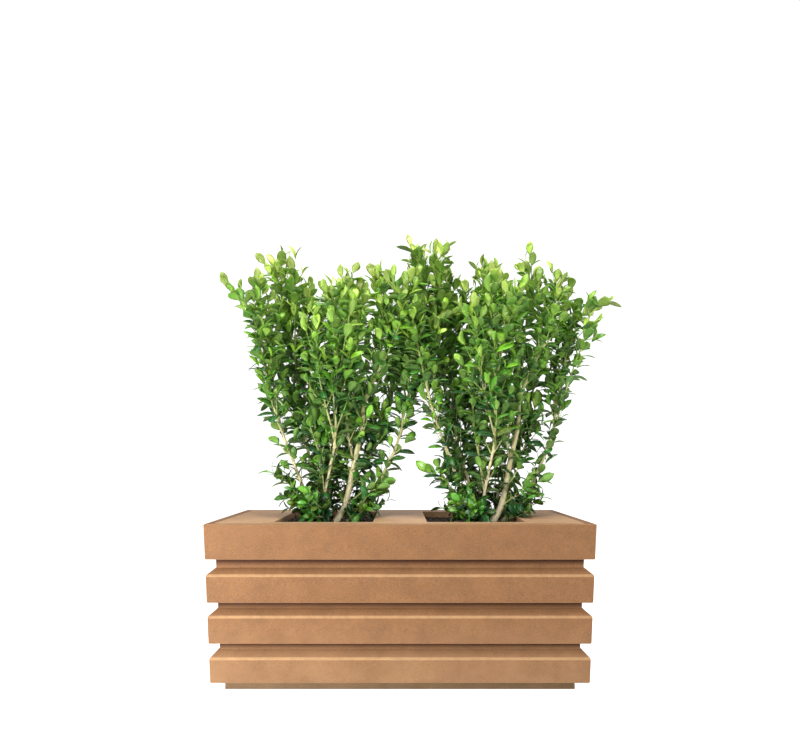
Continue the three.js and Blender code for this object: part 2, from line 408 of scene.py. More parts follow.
@dataclass(frozen=True)
class RootFibre(Finish):
    """Matted roots: brown clumps of soil in a net of pale threads."""

    title: str = "matted roots"
    thread: str = "c0a97c"
    threads_per_mm: float = 0.22

    def wire(self, tree: bpy.types.NodeTree) -> None:
        """Builds the root ball's nodes.

        Args:
            tree: The material's empty tree.
        """
        place, clumps = self.patterns(tree, (7, 3))
        net = add_node(
            tree, "ShaderNodeTexVoronoi", {"Vector": place, "Scale": self.threads_per_mm},
            feature="DISTANCE_TO_EDGE",
        )
        thread = add_node(tree, MAP_RANGE, (net, 0.0, 0.05, 0.7, 0.0))
        stops = ((0.3, "2a1c11"), (0.6, "4d3825"), (0.8, "7a6142"))
        colour = add_node(tree, RAMP, (clumps,), stops=stops)
        surface = {
            "Base Color": self.paint(tree, colour, [(thread, self.thread)]),
            "Roughness": 0.95,
            "Specular IOR Level": 0.2,
        }
        height = add_node(tree, MATH, (clumps, thread), operation="ADD")
        self.surface(tree, surface, height, 0.9)


@dataclass(frozen=True)
class LinerPlastic(Finish):
    """Black moulded polypropylene: a fine matt texture with a film of dust."""

    title: str = "moulded black polypropylene"

    def wire(self, tree: bpy.types.NodeTree) -> None:
        """Builds the liner's nodes.

        Args:
            tree: The material's empty tree.
        """
        # The mould's grain is about 0.2 mm, too fine to show, so it is drawn at 0.8 mm.
        _, texture, dust = self.patterns(tree, (0.8, 2), (30, 3))
        surface = {
            "Base Color": add_node(tree, RAMP, (dust,), stops=((0.4, "161616"), (0.75, "2c2a27"))),
            "Roughness": add_node(tree, MAP_RANGE, (texture, *NOISE_SPAN, 0.42, 0.6)),
        }
        self.surface(tree, surface, texture, 0.05)


@dataclass(frozen=True)
class YoungBark(Finish):
    """Boxwood bark: cream and corky at the foot, turning to green on the year's growth.

    The age attribute runs from 0 at a stem's foot to 1 at its tip.
    """

    title: str = "boxwood bark"
    stops: tuple[tuple[float, str], ...] = (
        (0.0, "efe3bc"), (0.3, "dbd19f"), (0.55, "bcc27e"), (0.8, "9cb75c"), (1.0, "a5c24f"),
    )
    furrow: str = "7d6a45"
    blotch: str = "8f8350"
    ridge_mm: float = 1.1
    ridge_squeeze: float = 0.16

    def wire(self, tree: bpy.types.NodeTree) -> None:
        """Builds the bark's nodes.

        Args:
            tree: The material's empty tree.
        """
        add = partial(add_node, tree)
        place, spots = self.patterns(tree, (6, 2))
        age = add(ATTRIBUTE, output="Fac", attribute_name="age")
        along = add("ShaderNodeMapping", {"Vector": place, "Scale": (1.0, 1.0, self.ridge_squeeze)})
        ridges = add(NOISE, {"Vector": along, "Scale": 1 / self.ridge_mm, "Detail": 3.0})
        furrow = add(MAP_RANGE, (ridges, 0.35, 0.52, 0.4, 0.0))
        old = add(MAP_RANGE, (age, 0.2, 0.6, 1.0, 0.25))
        blotch = add(MAP_RANGE, (spots, 0.55, 0.7, 0.0, 0.4))
        coats = [
            (add(MATH, (furrow, old), operation="MULTIPLY"), self.furrow),
            (blotch, self.blotch),
        ]
        surface = {
            "Base Color": self.paint(tree, add(RAMP, (age,), stops=self.stops), coats),
            "Roughness": 0.72,
            "Specular IOR Level": 0.3,
        }
        self.surface(tree, surface, ridges, 0.25)


@dataclass(frozen=True)
class BoxLeaf(Finish):
    """A boxwood leaf: leathery and a little glossy, with a pale midrib.

    The fresh attribute runs from 0 on an old inner leaf to 1 on a new tip leaf, partly as painted shade
    deep in the crown, tint is a random value for each leaf, and the leaf UV runs from the stalk to the
    tip and across the blade.
    """

    title: str
    roughness: tuple[float, float]
    pale_share: float = 0.0
    pale: str = "93b864"
    stops: tuple[tuple[float, str], ...] = (
        (0.0, "12461c"), (0.25, "347a1c"), (0.5, "78b52b"), (0.75, "acd047"), (1.0, "cedc70"),
    )
    bluish: str = "2a5c46"
    yellowish: str = "9fbe3f"
    rib: str = "a9bf63"

    def wire(self, tree: bpy.types.NodeTree) -> None:
        """Builds the leaf's nodes.

        Args:
            tree: The material's empty tree.
        """
        add = partial(add_node, tree)
        fresh = add(ATTRIBUTE, output="Fac", attribute_name="fresh")
        tint = add(ATTRIBUTE, output="Fac", attribute_name="tint")
        shade = add(MAP_RANGE, (tint, 0.0, 1.0, 0.42, 1.36))
        # The tint's finer digits pick a second random value, so hue and shade vary apart.
        kind = add(MATH, (add(MATH, (tint, 7.0), operation="MULTIPLY"),), operation="FRACT")
        blue_kind = add(MAP_RANGE, (kind, 0.6, 1.0, 0.0, 0.55))
        blue_age = add(MAP_RANGE, (fresh, 0.2, 0.8, 1.0, 0.2))
        yellow_kind = add(MAP_RANGE, (kind, 0.0, 0.3, 0.35, 0.0))
        blade = add("ShaderNodeUVMap", uv_map="leaf_uv")
        across = add("ShaderNodeSeparateXYZ", (blade,), 1)
        off_centre = add(MATH, (add(MATH, (across, 0.5), operation="SUBTRACT"),), operation="ABSOLUTE")
        coats = [
            (1.0, shade),
            (add(MATH, (blue_kind, blue_age), operation="MULTIPLY"), self.bluish),
            (yellow_kind, self.yellowish),
            (self.pale_share, self.pale),
            (add(MAP_RANGE, (off_centre, 0.0, 0.05, 0.4, 0.0)), self.rib),
        ]
        # A leaf's skin is puckered every 3 mm or so, between its side veins.
        _, mottle = self.patterns(tree, (3, 2))
        surface = {
            "Base Color": self.paint(tree, add(RAMP, (fresh,), stops=self.stops), coats),
            "Roughness": add(MAP_RANGE, (mottle, *NOISE_SPAN, *self.roughness)),
            "Specular IOR Level": 0.6,
        }
        self.surface(tree, surface, mottle, 0.12)


@dataclass(frozen=True)
class StudioPaper(Finish):
    """Matt white studio paper, which looks evenly lit to the camera."""

    title: str = "white studio paper"
    white: str = "dcdcda"
    glow: float = 0.9

    def wire(self, tree: bpy.types.NodeTree) -> None:
        """Builds the backdrop's nodes.

        Args:
            tree: The material's empty tree.
        """
        seen = add_node(tree, "ShaderNodeLightPath", output="Is Camera Ray")
        surface = {
            "Base Color": linear(self.white),
            "Roughness": 0.9,
            "Specular IOR Level": 0.1,
            "Emission Color": linear("ffffff"),
            "Emission Strength": add_node(tree, MATH, (seen, self.glow), operation="MULTIPLY"),
        }
        self.surface(tree, surface)


# Hot-pressed and sanded, so the faces look matt and cloudy with fine flecks, and rubbed edges are
# lighter, partly from wear and partly as a painted highlight.
BOARD = FibreComposite("pressed wood-fibre board", "845d3c", "69472a", "9a714b", "ad875f")
# The same board lying flat under rain and sun, so it is paler and drier, and painted lighter still as
# painted light on the top, against the shade the shrubs cast.
DECK_WITH_PAINTED_LIGHT = FibreComposite("weathered wood-fibre deck board with painted light", "b28c69", "94704f", "c6a07a", "d0ae87")
# The panels behind the courses, with a dark strip of painted shade under each overhang.
RECESS = FibreComposite(
    "wood-fibre carcass panel", "8c6340", "6f4b2d", "a27750", "ad8459", (197.0, 132.5, 72.0)
)
# Sawn and never sanded or coloured, so it is greyer and duller than the boards.
BASE = FibreComposite("bare sawn fibre base", "80674a", "6a553c", "937b5b", "937b5b", dust=0.1)
# Wet peat drinks the light: it looks nearly black, with crumbs where it has dried.
SOIL = PottingSoil()
# Threads of root hold the soil together, which gives a pale net on brown.
ROOTS = RootFibre()
# Moulded with a fine grain, so it is black with a soft, broad highlight.
LINER = LinerPlastic()
# Old bark cracks into cream ridges along the stem, and young bark is smooth and green.
BARK = YoungBark()
# A waxy skin gives the upper side small bright highlights on deep green.
LEAF_TOP = BoxLeaf("boxwood leaf, upper side", (0.22, 0.36))
# The under side has no wax, so it is paler and nearly matt.
LEAF_UNDER = BoxLeaf("boxwood leaf, under side", (0.5, 0.62), pale_share=0.33)
# Uncoated paper without a shine, bright enough to lose its own shadows.
PAPER = StudioPaper()


# ---------------------------------------------------------------------------------------------
# Planter
# ---------------------------------------------------------------------------------------------


class Side(Enum):
    """The planter's four sides, with the direction that each one faces."""

    FRONT = (0.0, -1.0)
    BACK = (0.0, 1.0)
    LEFT = (-1.0, 0.0)
    RIGHT = (1.0, 0.0)

    @property
    def outward(self) -> Vector:
        """The level direction that this side faces."""
        return Vector((self.value[0], self.value[1], 0.0))


@dataclass
class EasedBoard:
    """One composite board, with its sawn edges eased and its exposed top arris rounded over."""

    node: str
    finish: FibreComposite
    slot: str
    outward: Vector | None = None
    arris_mm: float = 0.0
    ease_mm: float = 0.7
    arris_faces: int = 4
    ease_faces: int = 2
    crisp: float = 30.0
    # How much lighter the rounded faces are painted, partly as wear and partly as a painted highlight.
    arris_wear: float = 1.0
    edge_wear: float = 0.55
    smooth: float = 28.0

    def build(self) -> None:
        """Makes the board from its CAD node's shape."""
        shape = cad_mesh(self.node)
        layer = shape.faces.layers.float.new("wear")
        if self.arris_mm:
            arris = self._top_arris(shape)
            self._round(shape, arris, self.arris_mm, self.arris_faces, layer, self.arris_wear)
        crisp = [e for e in shape.edges if self._is_crisp(e)]
        self._round(shape, crisp, self.ease_mm, self.ease_faces, layer, self.edge_wear)
        bmesh.ops.recalc_face_normals(shape, faces=shape.faces)
        mesh = new_mesh(self.node + "_board", shape)
        mesh.materials.append(self.finish.material())
        settle(new_object(self.node + "_board", mesh), self.slot, self.node, self.smooth)

    def _top_arris(self, shape: bmesh.types.BMesh) -> list[bmesh.types.BMEdge]:
        """Finds the long edge where the front face meets the sloping top.

        Args:
            shape: The board.

        Returns:
            The edge, in as many parts as the board has it.
        """
        reach = max(v.co.dot(self.outward) for v in shape.verts)
        along = UP.cross(self.outward)
        found = []
        for edge in shape.edges:
            run = edge.verts[1].co - edge.verts[0].co
            level = abs(run.z) < 1 * MM and abs(run.normalized().dot(along)) > 0.95
            if level and all(abs(v.co.dot(self.outward) - reach) < 0.5 * MM for v in edge.verts):
                found.append(edge)
        return found

    def _is_crisp(self, edge: bmesh.types.BMEdge) -> bool:
        """Tells whether an edge is still a sharp corner."""
        return len(edge.link_faces) == 2 and edge.calc_face_angle(0.0) > math.radians(self.crisp)

    @staticmethod
    def _round(
        shape: bmesh.types.BMesh,
        edges: list[bmesh.types.BMEdge],
        radius_mm: float,
        segments: int,
        layer: bmesh.types.BMLayerItem,
        amount: float,
    ) -> None:
        """Rounds some edges and marks the new faces as rubbed, which paints them lighter as wear and as
        a painted highlight.

        Args:
            shape: The board.
            edges: The edges to round.
            radius_mm: How far the rounding reaches.
            segments: The number of faces across it.
            layer: The layer of wear and painted highlight.
            amount: The wear and painted highlight that the rounded faces get.
        """
        if not edges:
            return
        made = bmesh.ops.bevel(
            shape, geom=edges, offset=radius_mm * MM, offset_type="OFFSET", segments=segments,
            profile=0.5, affect="EDGES", clamp_overlap=True,
        )
        for face in made["faces"]:
            face[layer] = max(face[layer], amount)


@dataclass
class Planter:
    """The box: four courses of facing boards on a carcass, a deck and a plinth."""

    courses: tuple[str, ...] = ("rim", "upper_course", "middle_course", "lower_course")
    deck: tuple[str, ...] = (
        "deck_front_rail", "deck_back_rail", "deck_left_end", "deck_right_end", "deck_centre",
    )
    arris_mm: float = 2.4
    facing_ease_mm: float = 0.9
    deck_ease_mm: float = 0.8
    base_ease_mm: float = 0.6

    def build(self) -> None:
        """Makes every board of the planter and dresses the liner."""
        for course in self.courses:
            for side in Side:
                arris = 0.0 if course == "rim" else self.arris_mm
                node = f"{course}_{side.name.lower()}"
                EasedBoard(node, BOARD, "board", side.outward, arris, self.facing_ease_mm).build()
        for node in self.deck:
            EasedBoard(node, DECK_WITH_PAINTED_LIGHT, "board", ease_mm=self.deck_ease_mm).build()
        for side in Side:
            EasedBoard(f"carcass_{side.name.lower()}", RECESS, "carcass").build()
        for node, finish in (("carcass_floor", RECESS), ("plinth", BASE)):
            EasedBoard(node, finish, "carcass", ease_mm=self.base_ease_mm).build()
        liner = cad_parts["liner"]
        liner.data.materials.clear()
        liner.data.materials.append(LINER.material())


# ---------------------------------------------------------------------------------------------
# Geometry Nodes
# ---------------------------------------------------------------------------------------------


class Grower:
    """A Geometry Nodes tree with named inputs, run on objects to turn them into meshes."""

    def __init__(self, name: str, **inputs: str) -> None:
        """Starts a tree that takes geometry and the named inputs.

        Args:
            name: The tree's name.
            inputs: The type of each input, without the words that all socket types start with.
        """
        self.tree = bpy.data.node_groups.new(name, "GeometryNodeTree")
        face = self.tree.interface
        face.new_socket("Geometry", in_out="INPUT", socket_type="NodeSocketGeometry")
        for title, kind in inputs.items():
            face.new_socket(title, in_out="INPUT", socket_type="NodeSocket" + kind)
        face.new_socket("Geometry", in_out="OUTPUT", socket_type="NodeSocketGeometry")
        self.given = self.tree.nodes.new("NodeGroupInput").outputs

    def finish(self, geometry: bpy.types.NodeSocket, **coats: bpy.types.NodeSocket | None) -> None:
        """Ends the tree in real, not instanced, geometry with its materials.

        Args:
            geometry: What the tree has made.
            coats: By the name of a material input, the faces it goes on, or None for all.
        """
        made = add_node(self.tree, "GeometryNodeRealizeInstances", (geometry,))
        for title, faces in coats.items():
            coat = {"Geometry": made, "Material": self.given[title]}
            if faces is not None:
                coat["Selection"] = faces
            made = add_node(self.tree, "GeometryNodeSetMaterial", coat)
        add_node(self.tree, "NodeGroupOutput", (made,))

    def run(self, source: bpy.types.Object, name: str, **values: object) -> bpy.types.Mesh:
        """Runs the tree on an object and returns the plain mesh it makes.

        Args:
            source: The object that the tree works on. It is removed afterwards.
            name: The new mesh's name.
            values: The inputs' values.

        Returns:
            The finished mesh.
        """
        modifier = source.modifiers.new("grow", "NODES")
        modifier.node_group = self.tree
        sockets = {s.name: s.identifier for s in self.tree.interface.items_tree if s.in_out == "INPUT"}
        for title, value in values.items():
            modifier[sockets[title]] = value
        bpy.context.view_layer.update()
        shown = source.evaluated_get(bpy.context.evaluated_depsgraph_get())
        mesh = bpy.data.meshes.new_from_object(shown)
        mesh.name = name
        bpy.data.objects.remove(source)
        return mesh


@dataclass(frozen=True)
class LeafPose:
    """How leaves stand on a shoot, with angles in radians. A pair of numbers is a range.

    A leaf lifts towards its shoot's tip by lift, and more where it is fresh or near the end.
    """

    lift: float = 0.45
    lift_stray: tuple[float, float] = (-0.4, 0.35)
    fresh_lift: float = 0.62
    end_lift: float = 0.4
    turn_stray: float = 0.4
    roll_stray: float = 0.35
    length: tuple[float, float] = (0.78, 1.15)
    width: tuple[float, float] = (0.85, 1.12)
    age_stray: float = 0.12


def leaf_grower(pose: LeafPose) -> Grower:
    """Makes the tree that sets opposite pairs of leaves along each shoot.

    Each pair stands at a right angle to the one below it. The shoots are edges whose points carry
    the attributes fresh and size.

    Args:
        pose: How the leaves stand.

    Returns:
        The grower.
    """
    grower = Grower(
        "opposite leaves", Leaves="Collection", Spacing="Float", Length="Float", Seed="Int",
        Upper="Material", Under="Material",
    )
    given = grower.given
    add = partial(add_node, grower.tree)
    curve = add("GeometryNodeMeshToCurve", (given["Geometry"],))
    evenly = add(
        "GeometryNodeResampleCurve", {"Curve": curve, "Length": given["Spacing"]}, mode="LENGTH"
    )
    tangent = add("GeometryNodeInputTangent")
    quarter_turns = add(MATH, (add("GeometryNodeInputIndex"), math.pi / 2), operation="MULTIPLY")
    shapes = add(
        "GeometryNodeCollectionInfo",
        {0: given["Leaves"], "Separate Children": True, "Reset Children": True},
    )
    fresh, size, underside = (
        add(NAMED_VALUE, {"Name": title}, data_type="FLOAT") for title in ("fresh", "size", "underside")
    )
    along = add("GeometryNodeSplineParameter", output="Factor")
    end = add(MATH, (along, 3.0), operation="POWER")

    def stray(low: float, high: float, number: int) -> bpy.types.NodeSocket:
        """Gives each leaf a random number, drawn from a seed of its own."""
        seed = add(MATH, (given["Seed"], float(number)), operation="ADD")
        return add(RANDOM, {2: low, 3: high, "Seed": seed}, 1, data_type="FLOAT")

    pairs = []
    for half, first in ((0.0, 10), (math.pi, 50)):
        turn = add(MATH, (quarter_turns, half), operation="ADD")
        turn = add(MATH, (turn, stray(-pose.turn_stray, pose.turn_stray, first)), operation="ADD")
        spin = add("FunctionNodeEulerToRotation", (add("ShaderNodeCombineXYZ", {"Z": turn}),))
        upright = add("FunctionNodeAlignRotationToVector", {"Vector": tangent}, axis="Z")
        facing = add("FunctionNodeRotateRotation", (upright, spin), rotation_space="LOCAL")
        lift = add(MATH, (stray(*pose.lift_stray, first + 1), pose.lift), operation="ADD")
        lift = add(MATH, (fresh, pose.fresh_lift, lift), operation="MULTIPLY_ADD")
        lift = add(MATH, (end, pose.end_lift, lift), operation="MULTIPLY_ADD")
        tilt = {
            "X": stray(-pose.roll_stray, pose.roll_stray, first + 2),
            "Y": add(MATH, (lift, -1.0), operation="MULTIPLY"),
        }
        pitch = add("FunctionNodeEulerToRotation", (add("ShaderNodeCombineXYZ", tilt),))
        posed = add("FunctionNodeRotateRotation", (facing, pitch), rotation_space="LOCAL")
        length = add(MATH, (given["Length"], size), operation="MULTIPLY")
        length = add(MATH, (length, stray(*pose.length, first + 3)), operation="MULTIPLY")
        width = add(MATH, (length, stray(*pose.width, first + 4)), operation="MULTIPLY")
        age = add(MATH, (fresh, stray(-pose.age_stray, pose.age_stray, first + 5)), operation="ADD")
        marked = evenly
        for title, value in (("fresh", age), ("tint", stray(0.0, 1.0, first + 6))):
            marked = add(
                "GeometryNodeStoreNamedAttribute",
                {"Geometry": marked, "Name": title, "Value": value},
                data_type="FLOAT", domain="POINT",
            )
        pick_seed = add(MATH, (given["Seed"], float(first + 7)), operation="ADD")
        leaves = {
            "Points": marked,
            "Instance": shapes,
            "Pick Instance": True,
            "Instance Index": add(
                RANDOM, {4: 0, 5: len(LEAF_SHAPES) - 1, "Seed": pick_seed}, 2, data_type="INT"
            ),
            "Rotation": posed,
            "Scale": add("ShaderNodeCombineXYZ", (length, width, length)),
        }
        pairs.append(add("GeometryNodeInstanceOnPoints", leaves))
    grower.finish(add("GeometryNodeJoinGeometry", (pairs,)), Upper=None, Under=underside)
    return grower


def bark_grower() -> Grower:
    """Makes the tree that wraps bark round each twig, thinning towards its tip.

    Returns:
        The grower.
    """
    grower = Grower("twig bark", Sides="Int", Bark="Material")
    add = partial(add_node, grower.tree)
    curve = add("GeometryNodeMeshToCurve", (grower.given["Geometry"],))
    radius = add(NAMED_VALUE, {"Name": "thickness"}, data_type="FLOAT")
    ring = add("GeometryNodeCurvePrimitiveCircle", {"Resolution": grower.given["Sides"], "Radius": 1.0})
    tube = add(
        "GeometryNodeCurveToMesh",
        {"Curve": curve, "Profile Curve": ring, "Scale": radius, "Fill Caps": True},
    )
    grower.finish(tube, Bark=None)
    return grower


def crumb_grower() -> Grower:
    """Makes the tree that strews crumbs of soil and bark over a bed.

    Returns:
        The grower.
    """
    grower = Grower(
        "soil crumbs", Crumbs="Collection", Density="Float", Smallest="Float", Largest="Float",
        Seed="Int", Soil="Material",
    )
    given = grower.given
    add = partial(add_node, grower.tree)
    strewn = {"Mesh": given["Geometry"], "Density": given["Density"], "Seed": given["Seed"]}
    crumbs = {0: given["Crumbs"], "Separate Children": True, "Reset Children": True}
    any_turn = {0: (0.0, 0.0, 0.0), 1: (6.3, 6.3, 6.3)}
    placed = {
        "Points": add("GeometryNodeDistributePointsOnFaces", strewn, distribute_method="RANDOM"),
        "Instance": add("GeometryNodeCollectionInfo", crumbs),
        "Pick Instance": True,
        "Instance Index": add(RANDOM, {4: 0, 5: len(CRUMB_SHAPES) - 1}, 2, data_type="INT"),
        "Rotation": add(RANDOM, any_turn, data_type="FLOAT_VECTOR"),
        "Scale": add(RANDOM, {2: given["Smallest"], 3: given["Largest"]}, 1, data_type="FLOAT"),
    }
    grower.finish(add("GeometryNodeInstanceOnPoints", placed), Soil=None)
    return grower


def hidden_collection(title: str, shapes: Sequence[bpy.types.Object]) -> bpy.types.Collection:
    """Gathers the shapes that a tree copies, outside the rendered scene.

    Args:
        title: The collection's name.
        shapes: The shapes.

    Returns:
        The collection, which is not linked to the scene.
    """
    collection = bpy.data.collections.new(title)
    for shape in shapes:
        collection.objects.link(shape)
    return collection


# ---------------------------------------------------------------------------------------------
# Soil
# ---------------------------------------------------------------------------------------------

# Each crumb's proportions: two lumps and a flake of bark.
CRUMB_SHAPES = ((1.0, 0.9, 0.8), (1.3, 0.8, 0.7), (2.2, 1.2, 0.28))


@dataclass
class Bed:
    """The soil: its CAD block, roughened where it shows, and strewn with crumbs.

    The crumbs' density is a number per square metre. The waves that the surface swells by are in
    radians per metre. The root_ fields are for the root balls.
    """

    density: float = 26000.0
    smallest: float = 1.1 * MM
    largest: float = 3.6 * MM
    crust: float = 2.5 * MM
    step: float = 5 * MM
    waves: tuple[float, float, float] = (90.0, 70.0, 160.0)
    swell: float = 0.5 * MM
    heap: float = 0.6 * MM
    roughness: float = 0.5 * MM
    crumb_lumps: tuple[float, float] = (0.75, 1.2)
    root_step: float = 9 * MM
    root_dent: float = 1.8 * MM
    root_dip: float = 1.5 * MM
    seed: int = 7
    smooth: float = 50.0

    def build(self) -> None:
        """Makes the soil and the two root balls."""
        rng = random.Random(self.seed)
        shape = cad_mesh("soil")
        top = max(v.co.z for v in shape.verts)
        level = [f for f in shape.faces if f.normal.z > 0.99]
        bed_faces = [f for f in level if f.calc_center_median().z > top - MM]
        patches = bmesh.new()
        for plant, side in (("left_plant", -1), ("right_plant", 1)):
            outline = [v.co for f in bed_faces for v in f.verts if v.co.x * side > 0]
            self._grid(patches, outline, f"{plant}_root_ball", rng)
        surface = new_mesh("bed_surface", patches.copy())
        bmesh.ops.solidify(patches, geom=patches.faces[:], thickness=self.crust)
        bmesh.ops.recalc_face_normals(patches, faces=patches.faces)
        crust = new_mesh("bed_crust", patches)
        crumbs = crumb_grower().run(
            new_object("bed_source", surface), "soil_crumbs",
            Crumbs=hidden_collection("crumbs", self._crumb_shapes(rng)),
            Density=self.density, Smallest=self.smallest, Largest=self.largest,
            Seed=self.seed, Soil=SOIL.material(),
        )
        bmesh.ops.triangulate(shape, faces=[f for f in shape.faces if len(f.verts) > 4])
        joined = bmesh.new()
        for mesh in (new_mesh("soil_body", shape), crust, crumbs):
            joined.from_mesh(mesh)
        mesh = new_mesh("soil_bed", joined)
        mesh.materials.clear()
        mesh.materials.append(SOIL.material())
        mesh.polygons.foreach_set("material_index", [0] * len(mesh.polygons))
        settle(new_object("soil_bed", mesh), "soil", "soil", self.smooth)
        for plant in ("left_plant", "right_plant"):
            self._root_ball(f"{plant}_root_ball", rng)

    def _grid(
        self, patches: bmesh.types.BMesh, outline: list[Vector], root_ball: str, rng: random.Random
    ) -> None:
        """Adds a gently uneven surface over one bed, open where the root ball comes through.

        Args:
            patches: Gets the surface.
            outline: The bed's outline.
            root_ball: The root ball's CAD node.
            rng: The source of its unevenness.
        """
        ball_low, ball_high = (Vector(corner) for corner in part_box(root_ball))
        middle = (ball_low + ball_high) / 2
        inside = (ball_high.x - ball_low.x) / 2 - self.step
        top = max(p.z for p in outline)
        low = Vector((min(p.x for p in outline), min(p.y for p in outline), top))
        high = Vector((max(p.x for p in outline), max(p.y for p in outline), top))
        across = max(2, int((high.x - low.x) / self.step))
        along = max(2, int((high.y - low.y) / self.step))
        phase = [rng.uniform(0, 6) for _ in range(4)]  # The fourth has no wave.
        rows: list[list[bmesh.types.BMVert]] = []
        for j in range(along + 1):
            row = []
            for i in range(across + 1):
                x = low.x + (high.x - low.x) * i / across
                y = low.y + (high.y - low.y) * j / along
                wave = sum(
                    math.sin(place * often + start)
                    for place, often, start in zip((x, y, x + y), self.waves, phase)
                )
                lift = self.heap + self.swell * wave + rng.uniform(-self.roughness, self.roughness)
                row.append(patches.verts.new((x, y, top + max(lift, 0.1 * MM))))
            rows.append(row)
        for j in range(along):
            for i in range(across):
                corners = (rows[j][i], rows[j][i + 1], rows[j + 1][i + 1], rows[j + 1][i])
                if max((v.co.xy - middle.xy).length for v in corners) > inside:
                    patches.faces.new(corners)
        bmesh.ops.delete(patches, geom=[v for v in patches.verts if not v.link_faces], context="VERTS")

    def _crumb_shapes(self, rng: random.Random) -> list[bpy.types.Object]:
        """Makes the crumbs, about one unit across.

        Args:
            rng: The source of their lumps.

        Returns:
            Objects that are not in the scene.
        """
        shapes = []
        for number, squash in enumerate(CRUMB_SHAPES):
            lump = bmesh.new()
            bmesh.ops.create_icosphere(lump, subdivisions=1, radius=0.5)
            for vertex in lump.verts:
                vertex.co *= rng.uniform(*self.crumb_lumps)
                vertex.co = Vector([c * s for c, s in zip(vertex.co, squash)])
            name = f"crumb_{number}"
            shapes.append(bpy.data.objects.new(name, new_mesh(name, lump)))
        return shapes

    def _root_ball(self, node: str, rng: random.Random) -> None:
        """Makes one lumpy root ball inside its CAD solid.

        Args:
            node: The root ball's CAD node.
            rng: The source of its dents.
        """
        low, high = (Vector(corner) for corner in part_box(node))
        centre = (low + high) / 2
        shape = bmesh.new()
        shape.from_mesh(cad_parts[node].data)
        bmesh.ops.remove_doubles(shape, verts=shape.verts, dist=SAME_PLACE)
        long_edges = [e for e in shape.edges if e.calc_length() > self.root_step]
        bmesh.ops.subdivide_edges(shape, edges=long_edges, cuts=3, use_grid_fill=True)
        for vertex in shape.verts:
            radial = Vector((vertex.co.x - centre.x, vertex.co.y - centre.y, 0))
            dent = rng.uniform(0.0, self.root_dent)
            if radial.length > dent:
                vertex.co -= radial.normalized() * dent
            if vertex.co.z > high.z - MM:
                vertex.co.z -= rng.uniform(0.0, self.root_dip)
        mesh = new_mesh(node + "_roots", shape)
        mesh.materials.append(ROOTS.material())
        settle(new_object(node + "_roots", mesh), "root_ball", node, self.smooth)


# ---------------------------------------------------------------------------------------------
# Plants
# ---------------------------------------------------------------------------------------------


@dataclass(frozen=True)
class Branch:
    """A side branch: where it leaves its stem, and its route in the plant's millimetres."""

    share: float
    route: tuple[tuple[float, float, float], ...]
    vigour: float = 0.8


@dataclass(frozen=True)
class StemRoute:
    """One main stem: its route in millimetres from the plant's origin, on the rim's plane.

    The ground shoots point in the given compass directions, in degrees from +X.
    """

    name: str
    foot_radius_mm: float
    route: tuple[tuple[float, float, float], ...]
    branches: tuple[Branch, ...]
    ground: tuple[float, ...]
    vigour: float = 1.0
    leafiness: float = 0.66
    ground_rise: tuple[float, ...] = (0.12, 0.55)
    bare_share: float = 0.05


